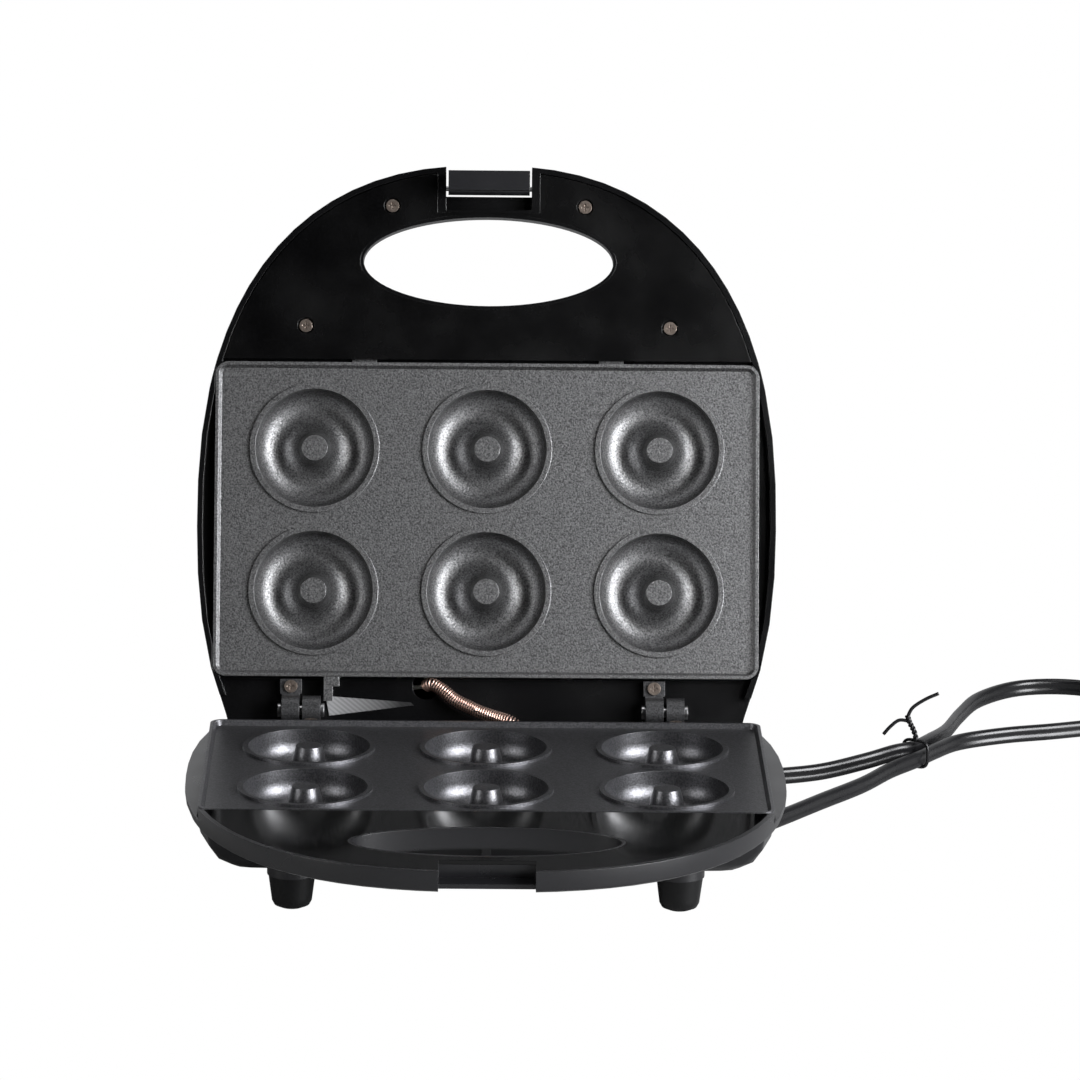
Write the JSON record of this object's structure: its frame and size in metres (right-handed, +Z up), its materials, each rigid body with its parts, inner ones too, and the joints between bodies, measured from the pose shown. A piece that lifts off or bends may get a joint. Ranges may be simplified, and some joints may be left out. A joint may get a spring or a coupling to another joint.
{
  "type": "donut maker",
  "caption": "Hinged donut maker with ring-shaped non-stick moulds in both halves, oval handle openings, a front latch clip, rubber feet and a flat mains cord.",
  "frame": {"origin": "on the table, under the middle of the bounding box of the maker without its cord", "axes": "+Z up, -Y towards the user at the handle, +X to the user's right"},
  "size_m": [0.3979, 0.3989, 0.2498],
  "materials": {
    "housing": "satin",
    "gloss_panel": "gloss",
    "dark_screws": "dark oxide",
    "lower_nonstick": "non-stick coated",
    "upper_nonstick": "non-stick coated",
    "hinge_coating": "grainy coating",
    "steel": "plain",
    "element_sheath": "oxidised",
    "reflector": "plain",
    "ceramic": "ceramic",
    "pale_plastic": "plain",
    "wire": "silicone sleeve",
    "foot_rubber": "satin",
    "cord_pvc": "satin",
    "brass_pins": "plain",
    "copper_conduit": "copper-tinted spring",
    "red_lens": "clear gloss",
    "green_lens": "clear gloss",
    "board": "circuit board"
  },
  "bodies": {
    "base": {"base_shell": "housing", "base_deck": "gloss_panel", "base_screws": "dark_screws", "lower_plate": "lower_nonstick", "lower_plate_screws": "steel", "lower_heating_element": "element_sheath", "lower_element_clamps": "steel", "lower_reflector": "reflector", "lower_thermostat": "ceramic", "thermal_fuse": "ceramic", "terminal_block": "pale_plastic", "base_wires": "wire", "hinge_arm_base_left": "hinge_coating", "hinge_arm_base_right": "hinge_coating", "hinge_pin_left": "steel", "hinge_pin_right": "steel", "hinge_screws_base": "dark_screws", "foot_front_left": "foot_rubber", "foot_front_right": "foot_rubber", "foot_rear_left": "foot_rubber", "foot_rear_right": "foot_rubber", "foot_screws": "steel", "strain_relief": "cord_pvc", "cord_clamp": "pale_plastic", "mains_cord": "cord_pvc", "plug_body": "cord_pvc", "plug_pins": "brass_pins", "twist_tie": "cord_pvc", "wire_conduit": "copper_conduit"},
    "lid": {"lid_cover": "housing", "lid_handle_panel": "gloss_panel", "lid_panel_screws": "dark_screws", "upper_plate": "upper_nonstick", "upper_plate_screws": "steel", "upper_heating_element": "element_sheath", "upper_element_clamps": "steel", "upper_reflector": "reflector", "upper_thermostat": "ceramic", "lid_wires": "wire", "power_lens": "red_lens", "ready_lens": "green_lens", "lamp_board": "board", "hinge_arm_lid_left": "hinge_coating", "hinge_arm_lid_right": "hinge_coating", "hinge_screws_lid": "dark_screws", "heat_shield_tongue": "reflector", "latch_pin": "steel"},
    "latch": {"latch_clip": "housing"}
  },
  "joints": [
    {"name": "lid_hinge", "type": "hinge", "parent": "base", "child": "lid", "pos_m": [0, 0.07228, 0.039], "axis": [1, 0, 0], "range_deg": [0, 108.4], "deforming": ["wire_conduit"]},
    {"name": "latch_pivot", "type": "hinge", "parent": "lid", "child": "latch", "pos_m": [0, 0.14283, 0.23969], "axis": [-1, 0, 0], "range_deg": [0, 62]}
  ]
}
